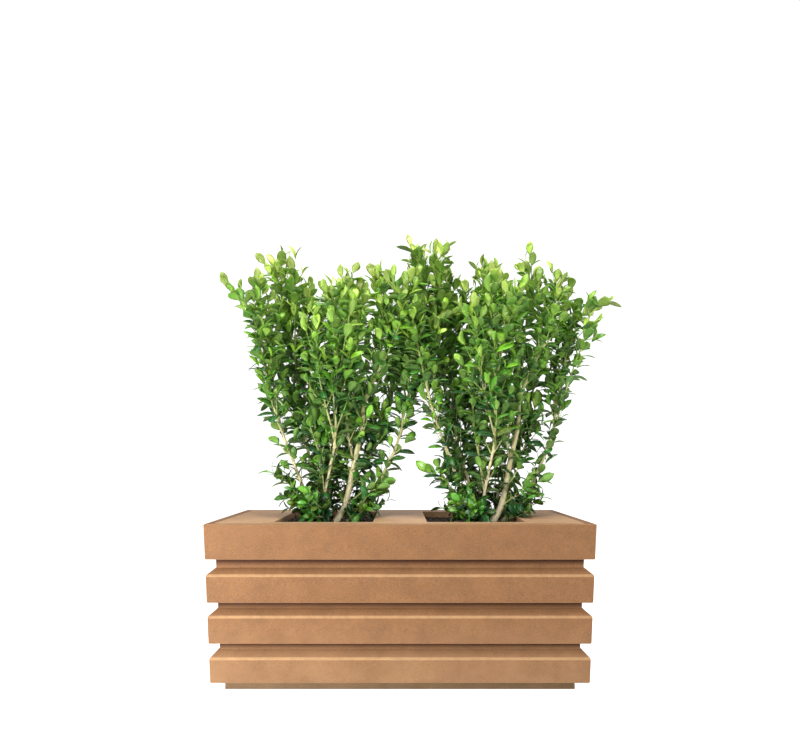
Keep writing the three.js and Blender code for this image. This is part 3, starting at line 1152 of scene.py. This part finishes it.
# Each stem stands on its root ball, this far above the rim's plane in millimetres.
FOOT = -8.7
STEM_ROUTES = (
    StemRoute("left_outer", 3.4, (
        (-2, -14, FOOT), (-31, -22, 49), (-52, -29, 104), (-78, -36, 173), (-99, -44, 257),
        (-114, -50, 326), (-127, -54, 355), (-158, -58, 393),
    ), (
        Branch(0.05, ((-36, -28, 32), (-56, -32, 58), (-76, -33, 71)), 0.35),
        Branch(0.32, ((-85, -20, 209), (-90, -12, 287), (-99, -8, 352))),
        Branch(0.50, ((-109, -34, 318), (-115, -30, 369), (-117, -28, 400)), 0.6),
    ), (205, 230, 165, 185, 250), 0.5, 0.78),
    StemRoute("left_inner", 3.4, (
        (2, 2, FOOT), (-13, 8, 53), (-30, 18, 115), (-43, 26, 186), (-60, 30, 240),
        (-68, 34, 313), (-86, 38, 394), (-104, 42, 456),
    ), (
        Branch(0.12, ((-26, 30, 95), (-48, 38, 150), (-62, 40, 200)), 0.6),
        Branch(0.35, ((-40, 40, 241), (-40, 52, 334), (-43, 58, 410))),
        Branch(0.45, ((-57, 22, 310), (-60, 20, 385), (-66, 18, 452))),
    ), (150, 190, 130), 0.95, 0.8, (0.3, 1.1)),
    StemRoute("centre_back", 2.8, (
        (6, 22, FOOT), (9, 34, 61), (12, 44, 133), (18, 52, 206), (21, 62, 299), (24, 72, 385),
        (29, 80, 436),
    ), (
        Branch(0.08, ((-6, 50, 90), (-14, 62, 150), (-20, 66, 215)), 0.9),
        Branch(0.28, ((-16, 64, 226), (-21, 76, 320), (-11, 84, 398))),
        Branch(0.52, ((50, 70, 319), (55, 78, 392), (57, 82, 416))),
    ), (90, 120, 60, 0), 1.0, 0.9, (0.6, 1.6)),
    StemRoute("centre_right", 6.0, (
        (24, -14, FOOT), (40, -16, 20), (49, -20, 59), (56, -24, 94), (69, -28, 148),
        (74, -32, 199), (98, -36, 253), (113, -38, 308), (101, -40, 362), (90, -42, 410),
    ), (
        Branch(0.03, ((52, -24, 28), (72, -26, 44), (88, -24, 52), (98, -22, 56)), 0.4),
        Branch(0.20, ((44, -40, 165), (48, -52, 247), (62, -58, 325), (69, -60, 356))),
        Branch(0.55, ((122, -44, 299), (132, -50, 343), (138, -52, 370))),
    ), (15, 40), 0.9, 0.7, bare_share=0.14),
    StemRoute("centre_front", 3.0, (
        (10, -28, FOOT), (7, -40, 33), (16, -48, 80), (25, -56, 130), (27, -62, 196),
        (28, -70, 294), (22, -76, 350), (21, -80, 380),
    ), (
        Branch(0.10, ((2, -40, 80), (-8, -48, 140), (-12, -52, 205)), 0.8),
        Branch(0.32, ((1, -72, 228), (-5, -80, 293), (-8, -84, 330))),
        Branch(0.55, ((45, -78, 309), (51, -82, 350))),
    ), (-150, -125, -165, -112, -135), 0.95, 0.75, (-0.06, 0.12, 0.5), 0.12),
    StemRoute("right_outer", 3.4, (
        (42, -2, FOOT), (90, -3, 36), (102, -4, 66), (122, -5, 106), (134, -6, 139),
        (142, -6, 181), (155, -6, 236), (168, -4, 297), (181, -2, 332), (207, 0, 352),
        (229, 2, 362),
    ), (
        Branch(0.40, ((148, 8, 260), (162, 14, 331), (172, 18, 370))),
        Branch(0.38, ((172, -16, 249), (190, -22, 292), (196, -26, 320)), 0.6),
    ), (10, -15, -40, -60), 0.5, 0.66),
    StemRoute("right_back", 3.0, (
        (28, 16, FOOT), (49, 28, 61), (84, 42, 133), (110, 50, 206), (134, 56, 298),
        (152, 58, 368), (166, 62, 414),
    ), (
        Branch(0.10, ((38, 40, 100), (44, 52, 160), (52, 58, 230)), 1.0),
        Branch(0.12, ((70, 20, 84), (92, 8, 128), (104, 4, 176)), 0.7),
        Branch(0.30, ((84, 60, 226), (91, 68, 319), (109, 74, 378))),
    ), (50, 20, -5), 0.95, 0.85, (0.4, 1.4)),
)


@dataclass
class Path:
    """A smooth line through given points, with places and directions along it."""

    points: list[Vector]
    samples_per_span: int = 16

    def __post_init__(self) -> None:
        """Samples the line closely and measures it."""
        self.samples: list[Vector] = []
        before = self.points[0] * 2 - self.points[1]
        after = self.points[-1] * 2 - self.points[-2]
        ends = [before, *self.points, after]
        for a, b, c, d in zip(ends, ends[1:], ends[2:], ends[3:]):
            for step in range(self.samples_per_span):
                t = step / self.samples_per_span
                self.samples.append(
                    0.5 * (2 * b + (c - a) * t + (2 * a - 5 * b + 4 * c - d) * t**2
                           + (3 * b - a - 3 * c + d) * t**3)
                )
        self.samples.append(self.points[-1].copy())
        self.lengths = [0.0]
        for first, second in zip(self.samples, self.samples[1:]):
            self.lengths.append(self.lengths[-1] + (second - first).length)

    @property
    def length(self) -> float:
        """The line's whole length."""
        return self.lengths[-1]

    def at(self, share: float) -> Vector:
        """Finds a place on the line.

        Args:
            share: How far along it, as a share of its length.

        Returns:
            The place.
        """
        goal = min(max(share, 0.0), 1.0) * self.length
        for number in range(len(self.lengths) - 1):
            if self.lengths[number + 1] >= goal:
                span = self.lengths[number + 1] - self.lengths[number]
                part = (goal - self.lengths[number]) / span if span else 0.0
                return self.samples[number].lerp(self.samples[number + 1], part)
        return self.samples[-1].copy()

    def heading(self, share: float) -> Vector:
        """Returns the unit direction at a share of the line's length."""
        return (self.at(share + 0.01) - self.at(share - 0.01)).normalized()


@dataclass
class Twigs:
    """Lines that grow into bark or carry leaves, with values at each point."""

    points: list[Vector] = field(default_factory=list)
    edges: list[tuple[int, int]] = field(default_factory=list)
    values: dict[str, list[float]] = field(default_factory=dict)

    def add(self, line: Sequence[Vector], **values: Sequence[float]) -> None:
        """Adds one line.

        Args:
            line: Its points.
            values: One number for each point, by attribute name.
        """
        start = len(self.points)
        self.points.extend(line)
        self.edges.extend((start + i, start + i + 1) for i in range(len(line) - 1))
        for name, numbers in values.items():
            self.values.setdefault(name, []).extend(numbers)

    def source(self, name: str) -> bpy.types.Object:
        """Makes the mesh object that a Geometry Nodes tree works on.

        Args:
            name: The object's name.

        Returns:
            The object, with the lines as edges and the values as attributes.
        """
        mesh = bpy.data.meshes.new(name)
        mesh.from_pydata([tuple(p) for p in self.points], self.edges, [])
        for title, numbers in self.values.items():
            layer = mesh.attributes.new(title, "FLOAT", "POINT")
            layer.data.foreach_set("value", numbers)
        return new_object(name, mesh)


@dataclass(frozen=True)
class LeafShape:
    """One boxwood leaf of unit length: an oval blade that is a closed, thin lens.

    The leaf starts at the origin and runs along +X, with its upper side towards +Z.
    """

    width: float
    droop: float
    cup: float
    notch: float
    rows: int = 6
    thickness: float = 0.016
    arch: float = 0.10

    def build(self, name: str) -> bpy.types.Object:
        """Makes the leaf.

        Args:
            name: The leaf's name.

        Returns:
            An object that is not in the scene.
        """
        shape = bmesh.new()
        uv = shape.loops.layers.uv.new("leaf_uv")
        underside = shape.faces.layers.float.new("underside")
        places: dict[bmesh.types.BMVert, tuple[float, float]] = {}

        def corner(u: float, v: float, rise: float) -> bmesh.types.BMVert:
            """Adds a point of the blade.

            Args:
                u: Its share of the leaf's length.
                v: Its share of the half width, negative on one side.
                rise: How far it stands above the blade's middle surface.

            Returns:
                The point.
            """
            half = 0.5 * self.width * math.sin(math.pi * u**1.25) ** 0.75 if 0 < u < 1 else 0.0
            bend = -self.droop * u * u + self.arch * math.sin(math.pi * u)
            fold = self.cup * abs(v) * half
            vertex = shape.verts.new((u - 0.04 * self.droop * u, v * half, bend + fold + rise))
            places[vertex] = (u, 0.5 + 0.5 * v)
            return vertex

        base = corner(0.0, 0.0, 0.0)
        tip = corner(1.0 - self.notch, 0.0, 0.0)
        deep = self.thickness
        upper, lower = [], []
        for number in range(1, self.rows):
            u = (number / self.rows) * (1 - self.notch)
            edges = (corner(u, -1.0, 0.0), corner(u, 1.0, 0.0))
            for rows, side, middle in ((upper, deep, 0.4 * deep), (lower, -0.3 * deep, -1.3 * deep)):
                inner = [corner(u, -0.5, side), corner(u, 0.0, middle), corner(u, 0.5, side)]
                rows.append([edges[0], *inner, edges[1]])
        for rows, under in ((upper, 0.0), (lower, 1.0)):
            faces = [[base, rows[0][k + 1], rows[0][k]] for k in range(4)]
            faces += [[tip, rows[-1][k], rows[-1][k + 1]] for k in range(4)]
            for first, second in zip(rows, rows[1:]):
                faces += [[first[k], first[k + 1], second[k + 1], second[k]] for k in range(4)]
            for corners in faces:
                face = shape.faces.new(corners[::-1] if under else corners)
                face[underside] = under
                for loop in face.loops:
                    loop[uv].uv = places[loop.vert]
        bmesh.ops.recalc_face_normals(shape, faces=shape.faces)
        return bpy.data.objects.new(name, new_mesh(name, shape))


LEAF_SHAPES = (
    LeafShape(width=0.47, droop=0.16, cup=0.10, notch=0.0),
    LeafShape(width=0.50, droop=0.32, cup=-0.18, notch=0.02),
    LeafShape(width=0.43, droop=0.0, cup=0.22, notch=0.0),
    LeafShape(width=0.54, droop=0.22, cup=-0.08, notch=0.03),
)


@dataclass
class Sprig:
    """What one main stem grows: lines of wood and of leaves, from its own random source."""

    rng: random.Random
    wood: Twigs = field(default_factory=Twigs)
    leafy: Twigs = field(default_factory=Twigs)

    def stray(self, size: float) -> Vector:
        """Returns a small random offset, up to size along each axis."""
        return Vector([self.rng.uniform(-1, 1) for _ in range(3)]) * size


@dataclass
class Shrub:
    """One boxwood: its main stems, their branches and shoots, and the leaves on all of them.

    A pair of numbers is a range that a random value is drawn from. Ages run from 0, old wood, to 1.
    """

    name: str
    origin: Vector
    stretch: float
    leaves: bpy.types.Collection
    leafing: Grower
    barking: Grower
    seed: int = 11
    leaf_length: float = 30 * MM
    leaf_spacing: float = 14.5 * MM
    node_spacing: float = 20 * MM
    shoot_length: float = 66 * MM
    shortest_shoot: float = 15 * MM
    ground_shoot: tuple[float, float] = (30 * MM, 60 * MM)
    shoot_steps: int = 6
    limb_step: float = 9 * MM
    limb_wobble: float = 0.35 * MM
    tip_radius: float = 0.9 * MM
    branch_radius: float = 1.9 * MM
    low_branch_radius: float = 1.3 * MM
    shoot_radius: float = 1.05 * MM
    branch_lead: float = 14 * MM
    bark_sides: int = 8
    taper: float = 0.85
    bare_end: float = 0.985
    branch_bare: float = 0.12
    branch_age: float = 0.35
    tip_age: float = 0.95
    shoot_vigour: tuple[float, float] = (0.4, 1.1)
    shoot_lean: tuple[float, float] = (0.35, 0.85)
    shoot_rise: float = 0.12
    shoot_wander: float = 0.05
    ground_rise: float = 0.05
    ground_leaf_size: float = 0.8
    leading_from: float = 0.55
    leading_span: float = 0.45
    leading_size: float = 1.08
    tuft: float = 4 * MM
    tuft_freshness: float = 0.14
    crown: float = 470 * MM
    oldest: float = 0.10
    height_freshness: float = 0.58
    height_power: float = 1.6
    # Leaves low on a shoot are made older and darker, partly for age and partly as painted shade inside
    # the crown.
    tip_youth_and_inner_shade: float = 0.38
    even_share: float = 0.42

    def build(self) -> None:
        """Makes every stem of the shrub with its leaves."""
        for number, route in enumerate(STEM_ROUTES):
            sprig = Sprig(random.Random(self.seed * 100 + number))
            self._stem(route, sprig)
            self._finish(route, sprig, self.seed * 1000 + number * 97)

    def _places(self, route: Sequence[tuple[float, float, float]]) -> list[Vector]:
        """Places a route in the model's frame.

        Args:
            route: Points in the plant's own millimetres.

        Returns:
            The points in metres, with their heights stretched to this shrub's.
        """
        points = []
        for x, y, height in route:
            rise = height * self.stretch if height > 0 else height
            points.append(self.origin + Vector((x, y, rise)) * MM)
        return points

    def _freshness(self, place: Vector, share: float) -> float:
        """Tells how young a leaf is from its height in the crown and its place on the shoot; leaves low
        on a shoot come out older and darker, partly for age and partly as painted shade deep in the
        crown.
        """
        height = (place.z - self.origin.z) / (self.crown * self.stretch)
        crown = self.height_freshness * max(height, 0.0) ** self.height_power
        return self.oldest + crown + self.tip_youth_and_inner_shade * (share - self.even_share)

    def _stem(self, route: StemRoute, sprig: Sprig) -> None:
        """Grows one main stem with its branches and the shoots at its foot.

        Args:
            route: The stem's route.
            sprig: Gets its lines.
        """
        path = Path(self._places(route.route))
        growth = (route.vigour, route.leafiness)
        self._limb(path, route.foot_radius_mm * MM, growth, route.bare_share, 0.0, sprig)
        for branch in route.branches:
            start = path.at(branch.share)
            lead = start + path.heading(branch.share) * self.branch_lead
            side = Path([start, lead, *self._places(branch.route)])
            radius = self.branch_radius if branch.share > 0.1 else self.low_branch_radius
            growth = (branch.vigour, route.leafiness)
            self._limb(side, radius, growth, self.branch_bare, self.branch_age, sprig)
        self._ground_shoots(path, route, sprig)

    def _limb(
        self, path: Path, foot: float, growth: tuple[float, float], bare: float, age: float,
        sprig: Sprig,
    ) -> None:
        """Grows one stem or branch with its side shoots.

        Args:
            path: Its line.
            foot: Its radius where it starts.
            growth: A factor for the length of its side shoots, and the share that grows.
            bare: The share of it that carries none.
            age: The age attribute where it starts.
            sprig: Gets its lines.
        """
        rng = sprig.rng
        count = max(12, int(path.length / self.limb_step))
        shares = [i / count for i in range(count + 1)]
        line = [path.at(share) for share in shares]
        for place in line[1:]:
            place += sprig.stray(self.limb_wobble)
        thick = []
        for i, share in enumerate(shares):
            swelling = 1 + 0.07 * math.sin(i * 1.9) + rng.uniform(-0.03, 0.03)
            thick.append((foot + (self.tip_radius - foot) * share**self.taper) * swelling)
        ages = [age + (self.tip_age - age) * share for share in shares]
        sprig.wood.add(line, thickness=thick, age=ages)
        self._leading_leaves(path, sprig.leafy)
        distance = path.length * bare
        turn = rng.uniform(0, math.tau)
        while distance < path.length * self.bare_end:
            share = distance / path.length
            for half in (0.0, math.pi):
                if rng.random() < growth[1]:
                    self._side_shoot(path, share, turn + half, growth[0], sprig)
            turn += math.pi / 2 + rng.uniform(-0.3, 0.3)
            distance += self.node_spacing * rng.uniform(0.8, 1.25) * (1.25 - 0.5 * share)

    def _leading_leaves(self, path: Path, leafy: Twigs) -> None:
        """Puts leaves on the upper part of a stem itself, and a tuft of new ones at its end.

        Args:
            path: The stem's line.
            leafy: Gets the leaf line.
        """
        steps = max(6, int(path.length / self.leaf_length))
        shares = [self.leading_from + self.leading_span * i / steps for i in range(steps + 1)]
        line = [path.at(share) for share in shares]
        line.append(line[-1] + path.heading(0.98) * self.tuft)
        shares.append(1.0)
        fresh = [
            self._freshness(place, share) + self.tuft_freshness * (share > 0.9)
            for place, share in zip(line, shares)
        ]
        size = [self.leading_size - 0.05 * max(0.0, (share - 0.8) / 0.2) for share in shares]
        leafy.add(line, fresh=fresh, size=size)

    def _ground_shoots(self, path: Path, route: StemRoute, sprig: Sprig) -> None:
        """Grows short shoots that spread from a stem's foot and hide the soil.

        Args:
            path: The stem's line.
            route: The stem, which gives their compass directions and how steeply they rise.
            sprig: Gets their lines.
        """
        rng = sprig.rng
        for turn in route.ground:
            for rise in route.ground_rise:
                start = path.at(rng.uniform(0.015, 0.06))
                angle = math.radians(turn + rng.uniform(-12, 12))
                heading = Vector((math.cos(angle), math.sin(angle), rise + rng.uniform(-0.1, 0.1)))
                heading.normalize()
                length = rng.uniform(*self.ground_shoot)
                self._shoot(
                    start, heading, length, 0.1, self.ground_rise, sprig, self.ground_leaf_size
                )

    def _side_shoot(
        self, path: Path, share: float, turn: float, vigour: float, sprig: Sprig
    ) -> None:
        """Grows one side shoot of a stem or branch.

        Args:
            path: The stem.
            share: Where on the stem it starts.
            turn: Which way it points around the stem.
            vigour: A factor for its length.
            sprig: Gets its lines.
        """
        rng = sprig.rng
        along = path.heading(share)
        level = along.cross(Vector((0, 1, 0))).normalized()
        outward = Matrix.Rotation(turn, 3, along) @ level
        growth = math.sin(math.pi * min(0.2 + 0.66 * share, 1.0)) ** 0.8
        length = self.shoot_length * vigour * growth * rng.uniform(*self.shoot_vigour)
        length = max(length, self.shortest_shoot)
        lean = rng.uniform(*self.shoot_lean)
        heading = (along * math.cos(lean) + outward * math.sin(lean)).normalized()
        self._shoot(path.at(share), heading, length, share, self.shoot_rise, sprig)

    def _shoot(
        self, start: Vector, heading: Vector, length: float, share: float, rise: float,
        sprig: Sprig, scale: float = 1.0,
    ) -> None:
        """Grows a leafy twig that curves up towards the light.

        Args:
            start: Where it leaves the stem.
            heading: Its first direction.
            length: Its length.
            share: Where on the stem it starts, which sets its age.
            rise: How strongly it turns upwards.
            sprig: Gets its lines.
            scale: A factor for its leaves' size.
        """
        line = [start]
        for _ in range(self.shoot_steps):
            heading = (heading + UP * rise + sprig.stray(self.shoot_wander)).normalized()
            line.append(line[-1] + heading * length / self.shoot_steps)
        parts = [i / self.shoot_steps for i in range(self.shoot_steps + 1)]
        base = self.shoot_radius * (0.7 + 0.6 * length / self.shoot_length)
        sprig.wood.add(
            line,
            thickness=[base * (1 - 0.6 * part) for part in parts],
            age=[min(1.0, 0.3 + 0.5 * share + 0.3 * part) for part in parts],
        )
        fresh = [self._freshness(place, part) for place, part in zip(line, parts)]
        size = [
            scale * (0.80 + 0.40 * math.sin(math.pi * (0.15 + 0.6 * part)) - 0.2 * part)
            for part in parts
        ]
        sprig.leafy.add(line[1:], fresh=fresh[1:], size=size[1:])

    def _finish(self, route: StemRoute, sprig: Sprig, seed: int) -> None:
        """Turns the lines into a bark piece and a leaf piece.

        Args:
            route: The stem, which names the pieces.
            sprig: Its lines.
            seed: The seed for its leaves.
        """
        stem = f"{self.name}_stem_{route.name}"
        bark = self.barking.run(
            sprig.wood.source("wood_source"), stem + "_bark",
            Sides=self.bark_sides, Bark=BARK.material(),
        )
        settle(new_object(stem + "_bark", bark), "stem", stem)
        foliage = f"{self.name}_foliage_{route.name}"
        blades = self.leafing.run(
            sprig.leafy.source("leaf_source"), foliage + "_leaves",
            Leaves=self.leaves, Spacing=self.leaf_spacing, Length=self.leaf_length, Seed=seed,
            Upper=LEAF_TOP.material(), Under=LEAF_UNDER.material(),
        )
        settle(new_object(foliage + "_leaves", blades), "foliage", foliage)


# ---------------------------------------------------------------------------------------------
# Studio
# ---------------------------------------------------------------------------------------------


@dataclass(frozen=True)
class Lamp:
    """One soft square light, with its side in metres and its power in watts."""

    name: str
    place: tuple[float, float, float]
    side: float
    power: float

    def build(self, aim: Vector) -> None:
        """Hangs the light.

        Args:
            aim: Where it points.
        """
        data = bpy.data.lights.new(self.name, "AREA")
        data.shape = "SQUARE"
        data.size = self.side
        data.energy = self.power
        light = bpy.data.objects.new(self.name, data)
        light.location = self.place
        light.rotation_euler = (aim - Vector(self.place)).to_track_quat("-Z", "Y").to_euler()
        bpy.context.scene.collection.objects.link(light)


@dataclass
class Studio:
    """White paper sweep, soft lights and the camera."""

    lamps: tuple[Lamp, ...] = (
        Lamp("key", (-0.9, -1.6, 1.5), 0.8, 22.0),
        Lamp("fill", (1.6, -1.9, 0.9), 1.4, 23.0),
        Lamp("top", (0.0, -0.5, 2.35), 1.6, 46.0),
        Lamp("rear", (0.0, 1.35, 1.35), 0.9, 10.5),
        Lamp("front", (0.4, -1.75, 0.62), 0.5, 4.0),
        Lamp("low", (-0.62, -0.64, 0.09), 0.14, 4.6),
    )
    aim: tuple[float, float, float] = (0.0, 0.0, 0.3)
    room_light: float = 0.13
    lens_mm: float = 30.2
    sensor_mm: float = 36.0
    camera_place: tuple[float, float, float] = (0.0, -1.1916, 0.3472)
    camera_pitch: float = 96.97
    half_width: float = 6.0
    depth: float = 4.0
    bend: float = 1.6
    bend_steps: int = 12
    height: float = 5.0

    def build(self) -> None:
        """Makes the backdrop, the lights, the world and the camera."""
        self._backdrop()
        for lamp in self.lamps:
            lamp.build(Vector(self.aim))
        world = bpy.data.worlds.new("soft white room")
        world.use_nodes = True
        background = world.node_tree.nodes["Background"]
        background.inputs["Color"].default_value = (1.0, 1.0, 1.0, 1.0)
        background.inputs["Strength"].default_value = self.room_light
        scene = bpy.context.scene
        scene.world = world
        scene.view_settings.view_transform = "Standard"
        camera_data = bpy.data.cameras.new("camera")
        camera_data.lens = self.lens_mm
        camera_data.sensor_width = self.sensor_mm
        camera = bpy.data.objects.new("camera", camera_data)
        camera.location = self.camera_place
        camera.rotation_euler = (math.radians(self.camera_pitch), 0.0, 0.0)
        scene.collection.objects.link(camera)
        scene.camera = camera

    def _backdrop(self) -> None:
        """Makes the floor, which sweeps up behind into a wall."""
        shape = bmesh.new()
        crease = self.depth - self.bend
        profile = [(-self.depth, 0.0), (crease, 0.0)]
        for step in range(1, self.bend_steps + 1):
            angle = math.pi / 2 * step / self.bend_steps
            profile.append((crease + self.bend * math.sin(angle), self.bend * (1 - math.cos(angle))))
        profile.append((self.depth, self.height))
        rows = [
            [shape.verts.new((x, y, z)) for x in (-self.half_width, self.half_width)]
            for y, z in profile
        ]
        for first, second in zip(rows, rows[1:]):
            shape.faces.new((first[0], first[1], second[1], second[0]))
        mesh = new_mesh("backdrop", shape)
        mesh.materials.append(PAPER.material())
        mesh.polygons.foreach_set("use_smooth", [True] * len(mesh.polygons))
        new_object("backdrop", mesh)


# ---------------------------------------------------------------------------------------------
# The whole object
# ---------------------------------------------------------------------------------------------


def main() -> None:
    """Builds the planter, the soil, the two shrubs and the studio."""
    logging.basicConfig(level=logging.INFO, format="%(name)s: %(message)s")
    Studio().build()
    Planter().build()
    Bed().build()
    shapes = [shape.build(f"leaf_{number}") for number, shape in enumerate(LEAF_SHAPES)]
    leaves = hidden_collection("leaves", shapes)
    leafing = leaf_grower(LeafPose())
    barking = bark_grower()
    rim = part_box("rim_front")[1][2]
    crown_shift = 8 * MM
    for name, stretch in (("left_plant", 1.0), ("right_plant", 1.045)):
        low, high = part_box(f"{name}_root_ball")
        origin = Vector(((low[0] + high[0]) / 2 - crown_shift, 0.0, rim))
        Shrub(name, origin, stretch, leaves, leafing, barking).build()


if __name__ == "__main__":
    main()
